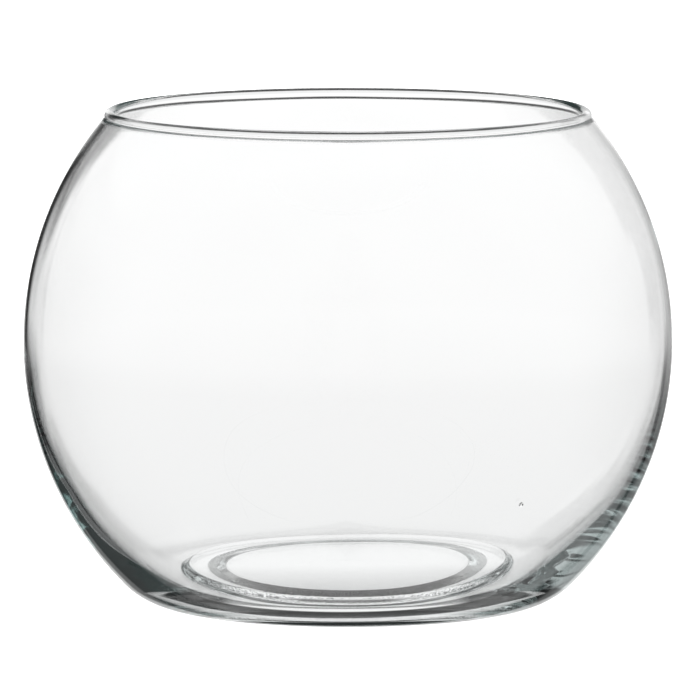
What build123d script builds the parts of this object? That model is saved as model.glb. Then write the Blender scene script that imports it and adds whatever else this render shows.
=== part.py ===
from build123d import *
import os
from math import hypot, sqrt

# Rose bowl vase: a globe of clear glass with a wide mouth, a beaded rim and a thick base, hollowed below.
# The axis of the bowl is Z and the table that it stands on is at Z = 0. Sizes are in millimetres.

# Outer form
bowl_diameter = 152.4   # across the widest circle
bowl_height = 116.4     # from the table to the top of the rim
widest_height = 61.8    # height of the widest circle
mouth_diameter = 109.0  # clear opening inside the rim bead
foot_diameter = 80.6    # outer edge of the flat ring that rests on the table
heel_radius = 17.9      # rounding from the foot into the belly

# Rim
bead_proud = 0.65       # how far the bead stands out on either side of the wall
bead_blend = 0.5        # hollow fillet between the bead and the wall
rim_band = 4.0          # height of the rim piece, with its bead

# Wall
neck_wall = 1.3         # thickness under the bead
belly_wall = 1.3        # thickness at the widest circle

# Base
floor_thickness = 4.2   # glass between the edge of the raised floor and the crown of the hollow below
floor_diameter = 75.0   # edge of the raised floor inside
floor_dome = 0.1        # rise of the raised floor from its edge to its centre
moat_reach = 3.0        # from the edge of the raised floor out to the lowest circle of the moat around it
moat_depth = 1.4        # fall from the edge of the raised floor into the moat
moat_rounding = 14.0    # rounding from the moat into the wall inside
ring_width = 6.9        # width of the flat ring on the table
hollow_depth = 1.6      # rise of the hollow under the base
bevel_width = 4.2       # bevel between the ring and the hollow
bevel_height = 1.5      # rise of that bevel
base_height = 22.0      # height of the base piece

# Heights and radii that follow from these
belly_outside = bowl_diameter / 2
belly_inside = belly_outside - belly_wall
foot_edge = foot_diameter / 2
hollow_radius = foot_edge - ring_width
floor_height = hollow_depth + floor_thickness
floor_edge = floor_diameter / 2
moat_radius = floor_edge + moat_reach
moat_height = floor_height - moat_depth
rim_level = bowl_height - rim_band


def heel_end(widest_radius, flat_edge, flat_height, rounding):
    """Point where the rounding that leaves a level face at its edge runs smoothly into the belly arc.

    The belly arc stands upright at the widest circle, so its centre is level with that circle.
    """
    rise = widest_height - flat_height - rounding
    reach = widest_radius - rounding
    arc_centre = (reach**2 - flat_edge**2 - rise**2) / (2 * (reach - flat_edge))
    along = flat_edge - arc_centre
    stretch = rounding / hypot(along, rise)
    return (flat_edge + along * stretch, flat_height + rounding - rise * stretch)


# Bead: a circle centred on the end of the wall, which leans inwards there
bead_radius = neck_wall / 2 + bead_proud
bead_centre = Vector(mouth_diameter / 2 + bead_radius, bowl_height - bead_radius)
lean_in = belly_outside - belly_wall / 2 - bead_centre.X
lean_up = bead_centre.Y - widest_height
shoulder_radius = (lean_in**2 + lean_up**2) / (2 * lean_in)
wall_normal = Vector(shoulder_radius - lean_in, lean_up) / shoulder_radius
wall_down = Vector(wall_normal.Y, -wall_normal.X)
neck_drop = sqrt(bead_radius**2 - (neck_wall / 2) ** 2)
neck_outside = bead_centre + wall_down * neck_drop + wall_normal * (neck_wall / 2)
neck_inside = bead_centre + wall_down * neck_drop - wall_normal * (neck_wall / 2)
bead_crest = bead_centre - wall_down * bead_radius

# Half section of the glass: X is the radius and Y the height
with BuildSketch() as section:
    with BuildLine():
        belly_end = heel_end(belly_outside, foot_edge, 0, heel_radius)
        moat_end = heel_end(belly_inside, moat_radius, moat_height, moat_rounding)
        moat_bottom = (moat_radius, moat_height)
        floor_rim = (floor_edge, floor_height)
        slope_middle = ((moat_radius + floor_edge) / 2, (moat_height + floor_height) / 2)
        floor_centre = (0, floor_height + floor_dome)
        hollow_crown = (0, hollow_depth)
        bevel_top = (hollow_radius - bevel_width, bevel_height)
        TangentArc((belly_outside, widest_height), neck_outside, tangent=(0, 1))
        ThreePointArc(neck_outside, bead_crest, neck_inside)
        TangentArc((belly_inside, widest_height), neck_inside, tangent=(0, 1))
        TangentArc((belly_inside, widest_height), moat_end, tangent=(0, -1))
        TangentArc(moat_bottom, moat_end, tangent=(1, 0))
        TangentArc(moat_bottom, slope_middle, tangent=(-1, 0))
        TangentArc(floor_rim, slope_middle, tangent=(1, 0))
        TangentArc(floor_centre, floor_rim, tangent=(1, 0))
        Line(floor_centre, hollow_crown)
        TangentArc(hollow_crown, bevel_top, tangent=(1, 0))
        Line(bevel_top, (hollow_radius, 0))
        Line((hollow_radius, 0), (foot_edge, 0))
        TangentArc((foot_edge, 0), belly_end, tangent=(1, 0))
        TangentArc((belly_outside, widest_height), belly_end, tangent=(0, -1))
    make_face()
    for neck in (neck_outside, neck_inside):
        fillet(section.vertices().sort_by_distance(neck)[0], radius=bead_blend)

# Rim: the top of the wall and its fire-polished bead
with BuildPart() as rim_bead:
    with BuildSketch(Plane.XZ):
        add(section.sketch)
        with Locations((0, rim_level)):
            Rectangle(bowl_diameter, rim_band, align=(Align.CENTER, Align.MIN), mode=Mode.INTERSECT)
    revolve(axis=Axis.Z)

# Wall: the globe, thin at the top and thicker towards the base
with BuildPart() as bowl_wall:
    with BuildSketch(Plane.XZ):
        add(section.sketch)
        with Locations((0, base_height)):
            Rectangle(
                bowl_diameter,
                rim_level - base_height,
                align=(Align.CENTER, Align.MIN),
                mode=Mode.INTERSECT,
            )
    revolve(axis=Axis.Z)

# Base: the heel, the raised floor and its moat, the ring that rests on the table and the hollow inside that ring
with BuildPart() as base:
    with BuildSketch(Plane.XZ):
        add(section.sketch)
        Rectangle(bowl_diameter, base_height, align=(Align.CENTER, Align.MIN), mode=Mode.INTERSECT)
    revolve(axis=Axis.Z)

os.makedirs("parts", exist_ok=True)
rim_bead.part.label = "rim_bead"
bowl_wall.part.label = "bowl_wall"
base.part.label = "base"
export_step(rim_bead.part, "parts/rim_bead.step")
export_step(bowl_wall.part, "parts/bowl_wall.step")
export_step(base.part, "parts/base.step")
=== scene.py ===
import math

import bpy
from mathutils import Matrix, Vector, noise


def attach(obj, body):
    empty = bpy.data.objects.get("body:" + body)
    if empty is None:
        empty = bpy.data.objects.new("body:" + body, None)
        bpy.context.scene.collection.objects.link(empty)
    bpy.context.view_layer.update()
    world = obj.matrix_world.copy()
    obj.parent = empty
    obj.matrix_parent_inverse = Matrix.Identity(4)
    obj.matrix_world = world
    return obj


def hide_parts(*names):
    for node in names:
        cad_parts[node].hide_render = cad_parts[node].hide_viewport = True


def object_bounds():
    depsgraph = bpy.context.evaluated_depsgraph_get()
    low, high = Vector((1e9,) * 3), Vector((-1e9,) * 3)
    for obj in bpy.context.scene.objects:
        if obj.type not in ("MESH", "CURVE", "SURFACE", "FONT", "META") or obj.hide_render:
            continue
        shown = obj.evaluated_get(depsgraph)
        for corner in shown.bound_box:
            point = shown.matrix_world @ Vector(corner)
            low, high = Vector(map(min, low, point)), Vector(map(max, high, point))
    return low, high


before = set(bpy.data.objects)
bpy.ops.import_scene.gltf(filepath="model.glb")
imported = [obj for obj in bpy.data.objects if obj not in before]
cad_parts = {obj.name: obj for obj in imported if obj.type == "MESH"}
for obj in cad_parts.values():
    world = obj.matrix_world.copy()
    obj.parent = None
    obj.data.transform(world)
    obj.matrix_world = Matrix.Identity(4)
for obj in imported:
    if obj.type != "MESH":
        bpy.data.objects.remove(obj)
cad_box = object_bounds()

# Rose bowl vase: one continuous body of clear glass, turned about Z. Lengths are in millimetres here
# and become metres, the unit of the CAD frame, where they go into Blender.
MM = 0.001
low, high = (Vector(corner) / MM for corner in cad_box)

# Outer form: the first two from the frame, the rest as in the CAD model
BELLY_OUTSIDE = min(-low.x, high.x)
BOWL_HEIGHT = high.z
WIDEST_HEIGHT = 61.8
MOUTH_RADIUS = 54.5
FOOT_EDGE = 40.3
HEEL_RADIUS = 17.9
# Rim, wall and base, as in the CAD model
BEAD_PROUD = 0.65
BEAD_BLEND = 0.5
NECK_WALL = 1.3
BELLY_WALL = 1.3
FLOOR_HEIGHT = 5.8
FLOOR_DOME = 0.1
FLOOR_EDGE = 37.5
MOAT_RADIUS = 40.5
MOAT_HEIGHT = 4.4
MOAT_ROUNDING = 14.0
HOLLOW_RADIUS = 33.4
HOLLOW_DEPTH = 1.6
BEVEL_WIDTH = 4.2
BEVEL_HEIGHT = 1.5

# Fineness of the mesh
SEGMENTS = 360
WALL_STEP = 1.0
BASE_STEP = 0.5
SLOPE_STEP = 0.25
BEAD_STEP = 0.12

# Irregular blown inside: the floor tilts along X, which fades out between two heights
FLOOR_TILT = 0.006
TILT_FADE = (11.0, 30.0)
# The inner surface is wavy, and so is the rim. One gives way to the other between two depths below the top.
WAVE_DEPTH = 0.05
WAVE_LENGTH = 22.0
RIM_WAVE_DEPTH = 0.12
RIM_WAVE_LENGTH = 30.0
RIM_WAVE_START = 12.0
RIM_WAVE_FULL = 3.0


def arc(start, end, tangent, step):
    """Points of the circular arc that leaves start along tangent and reaches end, without start itself."""
    start, end, tangent = Vector(start), Vector(end), Vector(tangent)
    chord = end - start
    normal = Vector((-tangent.y, tangent.x))
    swing = 2 * math.atan2(chord.dot(normal), chord.dot(tangent))
    radius = chord.length / (2 * math.sin(swing / 2))
    centre = start + normal * radius
    arm = start - centre
    count = max(2, math.ceil(abs(radius * swing) / step))
    points = []
    for i in range(1, count + 1):
        turn = swing * i / count
        points.append(centre + Vector((
            arm.x * math.cos(turn) - arm.y * math.sin(turn),
            arm.x * math.sin(turn) + arm.y * math.cos(turn),
        )))
    return points


def arc_back(start, end, tangent, step):
    """The same arc walked from end to start, without end itself."""
    return arc(start, end, tangent, step)[-2::-1] + [Vector(start)]


def line(start, end, step):
    """Evenly spaced points from start to end, without start itself."""
    start, end = Vector(start), Vector(end)
    count = max(1, math.ceil((end - start).length / step))
    return [start.lerp(end, i / count) for i in range(1, count + 1)]


def heel_end(widest_radius, flat_edge, flat_height, rounding):
    """Where the rounding that leaves a level face at its edge runs smoothly into the belly arc."""
    rise = WIDEST_HEIGHT - flat_height - rounding
    reach = widest_radius - rounding
    arc_centre = (reach**2 - flat_edge**2 - rise**2) / (2 * (reach - flat_edge))
    along = flat_edge - arc_centre
    stretch = rounding / math.hypot(along, rise)
    return Vector((flat_edge + along * stretch, flat_height + rounding - rise * stretch))


def section():
    """Half section of the glass as two runs of (radius, height) points, outside up and inside down.

    The outside starts on the axis under the base and ends on the crest of the bead. The inside goes on from
    there and ends on the floor's centre.
    """
    belly_inside = BELLY_OUTSIDE - BELLY_WALL
    half_wall = NECK_WALL / 2
    bead_radius = half_wall + BEAD_PROUD
    bead_centre = Vector((MOUTH_RADIUS + bead_radius, BOWL_HEIGHT - bead_radius))
    lean_in = BELLY_OUTSIDE - BELLY_WALL / 2 - bead_centre.x
    lean_up = bead_centre.y - WIDEST_HEIGHT
    shoulder = (lean_in**2 + lean_up**2) / (2 * lean_in)
    across = Vector((shoulder - lean_in, lean_up)) / shoulder
    down = Vector((across.y, -across.x))
    crest = bead_centre - down * bead_radius
    blend_drop = math.sqrt((bead_radius + BEAD_BLEND) ** 2 - (half_wall + BEAD_BLEND) ** 2)
    blend_share = bead_radius / (bead_radius + BEAD_BLEND)

    def neck(side):
        """Ends of the hollow blend on the wall and on the bead, and the way from the bead's centre to it."""
        on_wall = bead_centre + down * blend_drop + across * (side * half_wall)
        blend_arm = down * blend_drop + across * (side * (half_wall + BEAD_BLEND))
        return on_wall, bead_centre + blend_arm * blend_share, blend_arm.normalized()

    wall_outside, bead_outside, arm_outside = neck(1)
    wall_inside, bead_inside, arm_inside = neck(-1)
    widest_outside = (BELLY_OUTSIDE, WIDEST_HEIGHT)
    widest_inside = (belly_inside, WIDEST_HEIGHT)
    belly_end = heel_end(BELLY_OUTSIDE, FOOT_EDGE, 0, HEEL_RADIUS)
    moat_end = heel_end(belly_inside, MOAT_RADIUS, MOAT_HEIGHT, MOAT_ROUNDING)
    moat_bottom = Vector((MOAT_RADIUS, MOAT_HEIGHT))
    floor_rim = Vector((FLOOR_EDGE, FLOOR_HEIGHT))
    floor_centre = (0, FLOOR_HEIGHT + FLOOR_DOME)
    slope_middle = (moat_bottom + floor_rim) / 2
    hollow_crown = (0, HOLLOW_DEPTH)
    bevel_top = (HOLLOW_RADIUS - BEVEL_WIDTH, BEVEL_HEIGHT)

    outside = [Vector(hollow_crown)]
    outside += arc(hollow_crown, bevel_top, (1, 0), BASE_STEP)
    outside += line(bevel_top, (HOLLOW_RADIUS, 0), SLOPE_STEP)
    outside += line((HOLLOW_RADIUS, 0), (FOOT_EDGE, 0), BASE_STEP)
    outside += arc((FOOT_EDGE, 0), belly_end, (1, 0), BASE_STEP)
    outside += arc_back(widest_outside, belly_end, (0, -1), WALL_STEP)
    outside += arc(widest_outside, wall_outside, (0, 1), WALL_STEP)
    outside += arc(wall_outside, bead_outside, -down, BEAD_STEP)
    outside += arc(bead_outside, crest, (-arm_outside.y, arm_outside.x), BEAD_STEP)

    inside = arc(crest, bead_inside, -across, BEAD_STEP)
    inside += arc(bead_inside, wall_inside, (-arm_inside.y, arm_inside.x), BEAD_STEP)
    inside += arc_back(widest_inside, wall_inside, (0, 1), WALL_STEP)
    inside += arc(widest_inside, moat_end, (0, -1), WALL_STEP)
    inside += arc_back(moat_bottom, moat_end, (1, 0), BASE_STEP)
    inside += arc(moat_bottom, slope_middle, (-1, 0), SLOPE_STEP)
    inside += arc_back(floor_rim, slope_middle, (1, 0), SLOPE_STEP)
    inside += arc_back(floor_centre, floor_rim, (1, 0), BASE_STEP)
    return outside, inside


def fade(value, start, end):
    """1 below start, 0 above end and smooth between."""
    share = min(max((value - start) / (end - start), 0), 1)
    return 1 - share * share * (3 - 2 * share)


def blown(point):
    """A point of the smooth inner surface or rim, moved to where the blown glass ended up."""
    moved = point.copy()
    moved.z += FLOOR_TILT * point.x * fade(point.z, *TILT_FADE)
    inward = Vector((-point.x, -point.y, 0)).normalized()
    at_rim = 1 - fade(point.z, BOWL_HEIGHT - RIM_WAVE_START, BOWL_HEIGHT - RIM_WAVE_FULL)
    moved += inward * WAVE_DEPTH * noise.noise(point / WAVE_LENGTH) * (1 - at_rim)
    moved.z -= RIM_WAVE_DEPTH * abs(noise.noise(point / RIM_WAVE_LENGTH)) * at_rim
    return moved


def glass_mesh():
    """The section turned about Z as one closed mesh, with a single vertex at each end on the axis."""
    outside, inside = section()
    outline = outside + inside
    rim_start = len(outside) - 1
    verts = []
    for k, point in enumerate(outline):
        on_axis = k in (0, len(outline) - 1)
        for i in range(1 if on_axis else SEGMENTS):
            angle = 2 * math.pi * i / SEGMENTS
            place = Vector((point.x * math.cos(angle), point.x * math.sin(angle), point.y))
            verts.append((blown(place) if k >= rim_start else place) * MM)
    rings = len(outline) - 2
    last = len(verts) - 1
    last_ring = last - SEGMENTS
    faces = []
    for i in range(SEGMENTS):
        j = (i + 1) % SEGMENTS
        faces.append((0, 1 + j, 1 + i))
        for k in range(rings - 1):
            ring = 1 + k * SEGMENTS
            next_ring = ring + SEGMENTS
            faces.append((ring + i, ring + j, next_ring + j, next_ring + i))
        faces.append((last_ring + i, last_ring + j, last))
    mesh = bpy.data.meshes.new("glass_bowl")
    mesh.from_pydata(verts, [], faces)
    mesh.polygons.foreach_set("use_smooth", [True] * len(mesh.polygons))
    mesh.update()
    return mesh


def math_node(tree, operation, *values):
    """A Math node, with each value a number or the socket that feeds it. Returns its output."""
    node = tree.nodes.new("ShaderNodeMath")
    node.operation = operation
    for socket, value in zip(node.inputs, values):
        if isinstance(value, (int, float)):
            socket.default_value = value
        else:
            tree.links.new(value, socket)
    return node.outputs[0]


# Glass: refraction, and the colour and strength of its absorption
GLASS_IOR = 1.52
GLASS_TINT = (0.3, 0.75, 0.72, 1)
GLASS_DENSITY = 2
# Stipple: spots for each metre, depth, roughness of the surface between the spots and the height it ends at
STIPPLE_SCALE = 1500
STIPPLE_DEPTH = 0.15
STIPPLE_ROUGHNESS = 0.05
STIPPLE_TOP = BEVEL_HEIGHT / 2
# Bubble in the front wall: its middle, and the radius and height of the bulge that it makes
BUBBLE_PLACE = (39.7, -57.6, 30.8)
BUBBLE_RADIUS = 0.8
BUBBLE_HEIGHT = 0.2


def stippled_part(tree, place):
    """1 on the lower half of the bevel under the base and 0 elsewhere."""
    parts = tree.nodes.new("ShaderNodeSeparateXYZ")
    tree.links.new(place, parts.inputs[0])
    x, y, z = parts.outputs
    x_squared = math_node(tree, "MULTIPLY", x, x)
    y_squared = math_node(tree, "MULTIPLY", y, y)
    radius_squared = math_node(tree, "ADD", x_squared, y_squared)
    within = math_node(tree, "LESS_THAN", radius_squared, (HOLLOW_RADIUS * MM) ** 2)
    below = math_node(tree, "LESS_THAN", z, STIPPLE_TOP * MM)
    return math_node(tree, "MULTIPLY", within, below)


def stipple_spots(tree, place):
    """Fine even noise between 0 and 1."""
    stipple = tree.nodes.new("ShaderNodeTexNoise")
    stipple.inputs["Scale"].default_value = STIPPLE_SCALE
    stipple.inputs["Detail"].default_value = 1
    tree.links.new(place, stipple.inputs["Vector"])
    return stipple.outputs[0]


def bubble_bulge(tree, place):
    """Height of the bubble's bulge in millimetres, 0 away from the bubble."""
    away = tree.nodes.new("ShaderNodeVectorMath")
    away.operation = "DISTANCE"
    tree.links.new(place, away.inputs[0])
    away.inputs[1].default_value = Vector(BUBBLE_PLACE) * MM
    bulge = tree.nodes.new("ShaderNodeMapRange")
    bulge.interpolation_type = "SMOOTHSTEP"
    tree.links.new(away.outputs["Value"], bulge.inputs["Value"])
    bulge.inputs["From Min"].default_value = BUBBLE_RADIUS * MM
    bulge.inputs["From Max"].default_value = 0
    return math_node(tree, "MULTIPLY", bulge.outputs["Result"], BUBBLE_HEIGHT)


def glass_material():
    """Clear soda-lime glass, with the mould's fine stipple on the bevel and a bubble in the wall."""
    material = bpy.data.materials.new("clear_glass")
    material.use_nodes = True
    tree = material.node_tree
    shader = tree.nodes["Principled BSDF"]
    shader.inputs["Base Color"].default_value = (1, 1, 1, 1)
    shader.inputs["Transmission Weight"].default_value = 1
    shader.inputs["IOR"].default_value = GLASS_IOR
    absorption = tree.nodes.new("ShaderNodeVolumeAbsorption")
    absorption.inputs["Color"].default_value = GLASS_TINT
    absorption.inputs["Density"].default_value = GLASS_DENSITY
    tree.links.new(absorption.outputs["Volume"], tree.nodes["Material Output"].inputs["Volume"])

    place = tree.nodes.new("ShaderNodeTexCoord").outputs["Object"]
    stippled = stippled_part(tree, place)
    spots = math_node(tree, "MULTIPLY", stipple_spots(tree, place), stippled)
    height = math_node(tree, "MULTIPLY_ADD", spots, STIPPLE_DEPTH, bubble_bulge(tree, place))
    bump = tree.nodes.new("ShaderNodeBump")
    bump.inputs["Distance"].default_value = MM
    tree.links.new(height, bump.inputs["Height"])
    tree.links.new(bump.outputs["Normal"], shader.inputs["Normal"])
    roughness = math_node(tree, "MULTIPLY", stippled, STIPPLE_ROUGHNESS)
    tree.links.new(roughness, shader.inputs["Roughness"])
    return material


# Stage floor: half its width in metres, its grey and the strength of its own pale glow
STAGE_REACH = 40
STAGE_GREY = 0.9
STAGE_GLOW = 0.9


def floor_piece():
    """Wide pale floor. Only the camera and soft light meet it: the glass looks past it into the studio."""
    corners = [(-1, -1, 0), (1, -1, 0), (1, 1, 0), (-1, 1, 0)]
    mesh = bpy.data.meshes.new("floor")
    mesh.from_pydata([Vector(corner) * STAGE_REACH for corner in corners], [], [(0, 1, 2, 3)])
    floor = bpy.data.objects.new("floor", mesh)
    bpy.context.scene.collection.objects.link(floor)
    material = bpy.data.materials.new("floor")
    material.use_nodes = True
    shader = material.node_tree.nodes["Principled BSDF"]
    shader.inputs["Base Color"].default_value = (STAGE_GREY, STAGE_GREY, STAGE_GREY, 1)
    shader.inputs["Roughness"].default_value = 1
    shader.inputs["Emission Color"].default_value = (1, 1, 1, 1)
    shader.inputs["Emission Strength"].default_value = STAGE_GLOW
    mesh.materials.append(material)
    floor.visible_transmission = False
    floor.visible_glossy = False


# Studio light by direction, with angles in degrees. Azimuth 0 is straight behind the bowl and positive is
# right. Each band starts at an edge, given as the two elevations between which it takes over from the band
# below it, and holds stops of (azimuth, light). The white backdrop stands between a dark flag at the left and
# a weaker one at the right, a dark gap parts it from the white table, and the room in front is lit evenly.
BACKDROP = 1.03
FLAG = 0.035
UPPER_FLAG = 0.1
TABLE_LIGHT = [(-95, 1.0), (-70, 1.15), (70, 1.15), (95, 1.0)]
BANDS = {
    "gap": ((-54.0, -50.0), [
        (-95, 1.0), (-60, 0.9), (-42, 0.8), (-38, 0.04), (31, 0.02), (35, 1.0), (95, 1.0),
    ]),
    "foot of the backdrop": ((-30.5, -28.0), [
        (-95, 1.0), (-60, 0.85), (-40, 0.75), (-37.5, FLAG), (-20, FLAG), (-18, 0.4), (-13.5, 0.4),
        (-12, BACKDROP), (12, BACKDROP), (14, 0.35), (24, 0.35), (26, 0.05), (28, 0.05), (30, 0.5),
        (40, 0.8), (60, 0.85), (95, 1.0),
    ]),
    "lower part": ((-18.0, -15.5), [
        (-95, 1.0), (-60, 0.82), (-36, 0.78), (-33, FLAG), (-14, FLAG), (-12, BACKDROP), (11, BACKDROP),
        (12.5, 0.2), (15, 0.35), (19, 0.35), (22, 0.3), (24, 0.06), (27, 0.06), (29, 0.75), (42, 0.8),
        (60, 0.82), (95, 1.0),
    ]),
    "level": ((-9.0, -4.5), [
        (-95, 1.0), (-60, 0.82), (-42, 0.8), (-30, 0.82), (-22, 0.72), (-17, FLAG), (-10, FLAG),
        (-8.5, BACKDROP), (10, BACKDROP), (12, 0.55), (22, 0.62), (26, 0.75), (32, 0.85), (45, 0.8),
        (60, 0.82), (95, 1.0),
    ]),
    "upper part": ((0.5, 6.0), [
        (-95, 1.0), (-60, 0.85), (-42, 0.9), (-37, 1.1), (-33, 1.1), (-30.5, UPPER_FLAG),
        (-13, UPPER_FLAG), (-11, BACKDROP), (11, BACKDROP), (13.5, 0.68), (24, 0.74), (30, 0.95),
        (40, 0.95), (48, 0.85), (95, 1.0),
    ]),
    "top": ((9.0, 16.0), [
        (-95, 1.0), (-60, 0.95), (-45, 1.0), (-40, 1.15), (-36.5, 1.15), (-34, FLAG), (14, FLAG),
        (20, 0.6), (28, 1.0), (95, 1.0),
    ]),
    "above": ((22.0, 28.0), [
        (-95, 1.0), (-35, 1.0), (-18, 0.8), (-12, FLAG), (12, FLAG), (18, 0.6), (30, 1.0), (95, 1.0),
    ]),
}
# Azimuths that the stops cover, from half of this at the left to half at the right
STOP_SPAN = 200.0
# The light falls off downwards: for each fall its lower and upper elevation, and the share that is left below
FALLS = [((-8.5, -4.5), 0.9), ((-30.0, -8.5), 0.92)]
# Light that has gone round inside the wall, with this ray depth or more, comes from a low window at the left.
# Elsewhere the room is dark for it. The window ends between two angles from the plane through the middle of
# the backdrop and between two elevations.
TRAPPED_DEPTH = 18
WINDOW_SIDE = (-37.0, -24.0)
WINDOW_TOP = (8.0, 12.0)
WINDOW_LIGHT = 0.7
DARK_ROOM = 0.1
# The camera and the floor see a plain white room of this light
ROOM_LIGHT = 1.2


def light_ramp(tree, azimuth, stops):
    """Light for an azimuth in radians, read from the stops."""
    ramp = tree.nodes.new("ShaderNodeValToRGB")
    along_ramp = math_node(tree, "MULTIPLY_ADD", azimuth, 1 / math.radians(STOP_SPAN), 0.5)
    tree.links.new(along_ramp, ramp.inputs[0])
    elements = ramp.color_ramp.elements
    ready = len(elements)
    for i, (degrees, light) in enumerate(stops):
        position = degrees / STOP_SPAN + 0.5
        element = elements[i] if i < ready else elements.new(position)
        element.position = position
        element.color = (light, light, light, 1)
    return ramp.outputs["Color"]


def mix_colour(tree, factor, first, second):
    """A Mix node of two colours, each given or from a socket. Returns its output."""
    node = tree.nodes.new("ShaderNodeMix")
    node.data_type = "RGBA"
    colours = [socket for socket in node.inputs if socket.type == "RGBA"]
    tree.links.new(factor, node.inputs["Factor"])
    for socket, value in zip(colours, (first, second)):
        if isinstance(value, tuple):
            socket.default_value = value
        else:
            tree.links.new(value, socket)
    return next(socket for socket in node.outputs if socket.type == "RGBA")


def edge_share(tree, part, edge):
    """0 below the edge's lower angle and 1 above its upper one.

    The part of a direction along one axis is the sine of its angle from the plane across that axis.
    """
    share = tree.nodes.new("ShaderNodeMapRange")
    tree.links.new(part, share.inputs["Value"])
    share.inputs["From Min"].default_value = math.sin(math.radians(edge[0]))
    share.inputs["From Max"].default_value = math.sin(math.radians(edge[1]))
    return share.outputs["Result"]


def band_pattern(tree, azimuth, upward):
    """Light of the table and of the bands above it."""
    pattern = light_ramp(tree, azimuth, TABLE_LIGHT)
    for edge, stops in BANDS.values():
        share = edge_share(tree, upward, edge)
        pattern = mix_colour(tree, share, pattern, light_ramp(tree, azimuth, stops))
    return pattern


def pattern_strength(tree, depth, sideways, upward):
    """Share of the pattern that is left: less for trapped light outside the window, and less downwards."""
    trapped = math_node(tree, "GREATER_THAN", depth, TRAPPED_DEPTH - 0.5)
    beside = edge_share(tree, sideways, WINDOW_SIDE)
    over = edge_share(tree, upward, WINDOW_TOP)
    outside = math_node(tree, "MAXIMUM", beside, over)
    change = math_node(tree, "MULTIPLY_ADD", outside, DARK_ROOM - WINDOW_LIGHT, WINDOW_LIGHT - 1)
    strength = math_node(tree, "MULTIPLY_ADD", trapped, change, 1)
    for edge, share in FALLS:
        left = math_node(tree, "MULTIPLY_ADD", edge_share(tree, upward, edge), 1 - share, share)
        strength = math_node(tree, "MULTIPLY", strength, left)
    return strength


def studio():
    """The world: patterned light for the glass and a plain white room for the camera and the floor."""
    world = bpy.data.worlds.new("studio")
    bpy.context.scene.world = world
    world.use_nodes = True
    tree = world.node_tree
    parts = tree.nodes.new("ShaderNodeSeparateXYZ")
    tree.links.new(tree.nodes.new("ShaderNodeTexCoord").outputs["Generated"], parts.inputs[0])
    x, y, z = parts.outputs
    pattern = band_pattern(tree, math_node(tree, "ARCTAN2", x, y), z)
    rays = tree.nodes.new("ShaderNodeLightPath").outputs
    strength = pattern_strength(tree, rays["Ray Depth"], x, z)
    plain = math_node(tree, "MAXIMUM", rays["Is Camera Ray"], rays["Is Diffuse Ray"])
    room = (ROOM_LIGHT, ROOM_LIGHT, ROOM_LIGHT, 1)
    background = tree.nodes["Background"]
    tree.links.new(mix_colour(tree, plain, pattern, room), background.inputs["Color"])
    tree.links.new(math_node(tree, "MAXIMUM", strength, plain), background.inputs["Strength"])


# Camera: a long lens from a little above, as in the photograph. It looks at the axis at VIEW_HEIGHT.
VIEW_DISTANCE = 2228.0
VIEW_ELEVATION = math.radians(6.73)
VIEW_HEIGHT = 60.1
VIEW_LENS = 491.0
SENSOR_WIDTH = 36
# Farthest that the camera sees, in metres
VIEW_END = 100


def camera():
    """The camera of the main view."""
    data = bpy.data.cameras.new("camera")
    data.sensor_width = SENSOR_WIDTH
    data.lens = VIEW_LENS
    data.clip_end = VIEW_END
    view = bpy.data.objects.new("camera", data)
    bpy.context.scene.collection.objects.link(view)
    view.location = Vector((
        0,
        -VIEW_DISTANCE * math.cos(VIEW_ELEVATION),
        VIEW_HEIGHT + VIEW_DISTANCE * math.sin(VIEW_ELEVATION),
    )) * MM
    view.rotation_euler = (math.pi / 2 - VIEW_ELEVATION, 0, 0)
    bpy.context.scene.camera = view


# Picture: bounces enough for light to go round inside the wall, and the photograph's contrast
LIGHT_BOUNCES = 128
PICTURE_GAMMA = 0.85


def picture():
    """Colour and light settings of the scene."""
    scene = bpy.context.scene
    scene.view_settings.view_transform = "Standard"
    scene.view_settings.gamma = PICTURE_GAMMA
    scene.cycles.max_bounces = LIGHT_BOUNCES
    scene.cycles.transmission_bounces = LIGHT_BOUNCES
    scene.cycles.glossy_bounces = LIGHT_BOUNCES


glass_bowl = bpy.data.objects.new("glass_bowl", glass_mesh())
bpy.context.scene.collection.objects.link(glass_bowl)
glass_bowl.data.materials.append(glass_material())
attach(glass_bowl, "root")
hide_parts("rim_bead", "bowl_wall", "base")
floor_piece()
studio()
camera()
picture()
